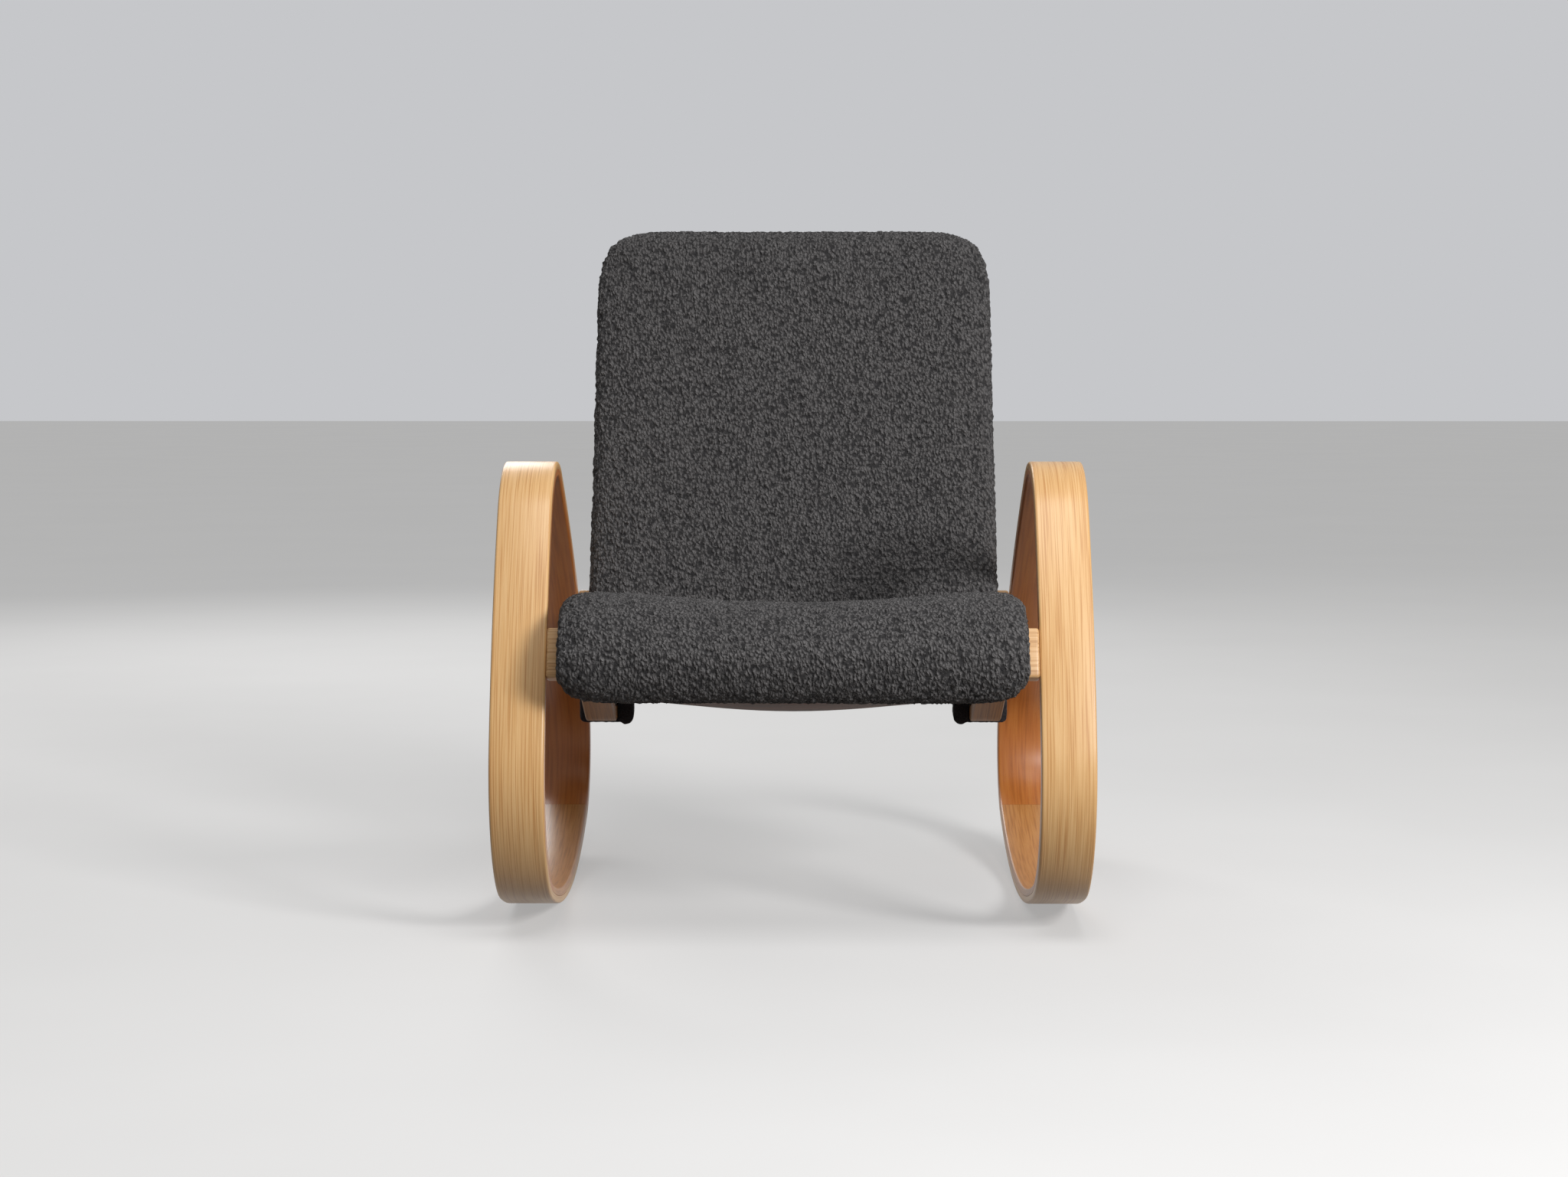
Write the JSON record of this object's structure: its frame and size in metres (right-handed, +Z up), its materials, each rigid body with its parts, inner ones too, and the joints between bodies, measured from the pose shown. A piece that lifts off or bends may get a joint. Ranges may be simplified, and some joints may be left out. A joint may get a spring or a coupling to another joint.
{
  "type": "bentwood rocking chair",
  "caption": "Rocking chair with closed bent laminated loops as arms and rockers, cross-rails, an L-shaped slatted seat frame and a fitted padded cover.",
  "frame": {"origin": "on the floor under the centre of the whole chair's bounding box", "axes": "+Z up, the sitter faces -Y, +X is the sitter's left"},
  "size_m": [0.69, 0.8012, 0.8467],
  "materials": {
    "ash_laminate": "clear satin lacquer over open-grained ash",
    "beech_lining": "clear satin lacquer over close-grained beech",
    "rail_wood": "clear satin lacquer",
    "frame_wood": "brown stained laminated wood",
    "dowel_wood": "unfinished beech",
    "screw_steel": "zinc plated",
    "boucle_fabric": "charcoal looped wool",
    "strap_fabric": "charcoal looped wool"
  },
  "bodies": {
    "root": {"loop_left_outer_lamination": "ash_laminate", "loop_left_upper_lining": "beech_lining", "loop_left_rocker_lining": "beech_lining", "loop_right_outer_lamination": "ash_laminate", "loop_right_upper_lining": "beech_lining", "loop_right_rocker_lining": "beech_lining", "front_cross_rail": "rail_wood", "rear_cross_rail": "rail_wood", "front_left_upper_dowel": "dowel_wood", "front_left_lower_dowel": "dowel_wood", "front_right_upper_dowel": "dowel_wood", "front_right_lower_dowel": "dowel_wood", "rear_left_upper_dowel": "dowel_wood", "rear_left_lower_dowel": "dowel_wood", "rear_right_upper_dowel": "dowel_wood", "rear_right_lower_dowel": "dowel_wood", "seat_frame_member_left": "frame_wood", "seat_frame_member_right": "frame_wood", "front_left_frame_screw": "screw_steel", "front_right_frame_screw": "screw_steel", "rear_left_frame_screw": "screw_steel", "rear_right_frame_screw": "screw_steel", "seat_slat_1": "frame_wood", "seat_slat_2": "frame_wood", "seat_slat_3": "frame_wood", "seat_slat_4": "frame_wood", "back_slat_1": "frame_wood", "back_slat_2": "frame_wood", "back_slat_3": "frame_wood", "back_slat_4": "frame_wood", "back_slat_5": "frame_wood", "seat_slat_1_screw_left": "screw_steel", "seat_slat_1_screw_right": "screw_steel", "seat_slat_2_screw_left": "screw_steel", "seat_slat_2_screw_right": "screw_steel", "seat_slat_3_screw_left": "screw_steel", "seat_slat_3_screw_right": "screw_steel", "seat_slat_4_screw_left": "screw_steel", "seat_slat_4_screw_right": "screw_steel", "back_slat_1_screw_left": "screw_steel", "back_slat_1_screw_right": "screw_steel", "back_slat_2_screw_left": "screw_steel", "back_slat_2_screw_right": "screw_steel", "back_slat_3_screw_left": "screw_steel", "back_slat_3_screw_right": "screw_steel", "back_slat_4_screw_left": "screw_steel", "back_slat_4_screw_right": "screw_steel", "back_slat_5_screw_left": "screw_steel", "back_slat_5_screw_right": "screw_steel", "seat_pad": "boucle_fabric", "back_pad": "boucle_fabric", "cover_strap_left": "strap_fabric", "cover_strap_right": "strap_fabric"}
  },
  "joints": []
}
